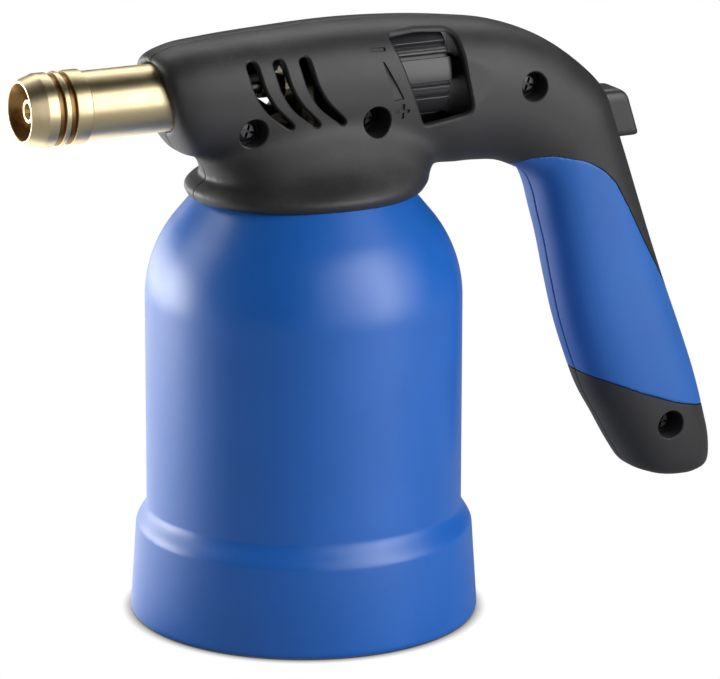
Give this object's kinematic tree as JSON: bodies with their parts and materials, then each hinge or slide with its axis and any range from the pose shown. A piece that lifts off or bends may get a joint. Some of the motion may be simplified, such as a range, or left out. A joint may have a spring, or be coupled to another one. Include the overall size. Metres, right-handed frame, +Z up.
{
  "type": "gas torch",
  "caption": "Hand-held gas torch: burner and piezo handle screwed to a steel bell that holds a pierceable gas cartridge, free-standing on its flat foot.",
  "frame": {"origin": "centre of the flat underside of the foot, on the canister's axis", "axes": "+Z up along the canister's axis; -X the way the burner points; +X towards the handle; the seam between the housing halves lies in the plane Y = 0"},
  "size_m": [0.2279, 0.1038, 0.1786],
  "materials": {
    "blue_paint": "satin blue powder coat on pressed steel",
    "black_plastic": "fine-grained charcoal moulding",
    "blue_rubber": "matt soft-touch inlay",
    "brass": "turned and lightly polished",
    "steel": "zinc plated",
    "can_paint": "bare tinplate can",
    "ceramic": "white glazed ceramic",
    "black_rubber": "matt seal rubber"
  },
  "bodies": {
    "holder": {"holder_bell": "blue_paint", "neck_ring": "steel", "bayonet_tab_1": "steel", "bayonet_tab_2": "steel", "bayonet_tab_3": "steel", "gas_cartridge": "can_paint"},
    "foot": {"base_foot": "black_plastic"},
    "head": {"valve_body": "brass", "piercing_needle": "steel", "cartridge_seal": "black_rubber", "spindle_ring": "black_rubber", "gland_nut": "brass", "gas_pipe": "brass", "gas_jet": "brass", "mixer_tube": "brass", "burner_tube": "brass", "burner_plug": "brass", "burner_head": "brass", "flame_core": "brass", "electrode_insulator": "ceramic", "electrode_pin": "steel", "ignition_lead": "black_rubber", "piezo_body": "black_plastic", "piezo_spring": "steel", "left_housing": "black_plastic", "left_grip": "blue_rubber", "right_housing": "black_plastic", "right_grip": "blue_rubber", "housing_screw_1": "steel", "housing_screw_2": "steel", "housing_screw_3": "steel", "housing_screw_4": "steel"},
    "knob": {"control_knob": "black_plastic"},
    "spindle": {"valve_spindle": "brass"},
    "button": {"ignition_button": "black_plastic", "piezo_plunger": "steel"}
  },
  "joints": [
    {"name": "base_twist", "type": "hinge", "parent": "holder", "child": "foot", "pos_m": [0, 0, 0], "axis": [0, 0, 1], "range_deg": [0, 32]},
    {"name": "head_unscrew", "type": "hinge", "parent": "holder", "child": "head", "pos_m": [0, 0, 0.1385], "axis": [0, 0, 1], "range_deg": [0, 1440]},
    {"name": "knob_turn", "type": "hinge", "parent": "head", "child": "knob", "pos_m": [0.0327, 0, 0.161], "axis": [1, 0, 0], "range_deg": [0, 450]},
    {"name": "spindle_travel", "type": "slide", "parent": "knob", "child": "spindle", "axis": [1, 0, 0], "range_m": [0, 0.00096]},
    {"name": "button_press", "type": "slide", "parent": "head", "child": "button", "axis": [-1, 0, 0], "range_m": [0, 0.005], "stiffness_N_per_m": 2400, "springref_m": -0.001, "deforming": ["piezo_spring"]}
  ],
  "couplings": [
    {"joint": "spindle_travel", "follows": "knob_turn", "m_per_rad": 0.00011937}
  ]
}
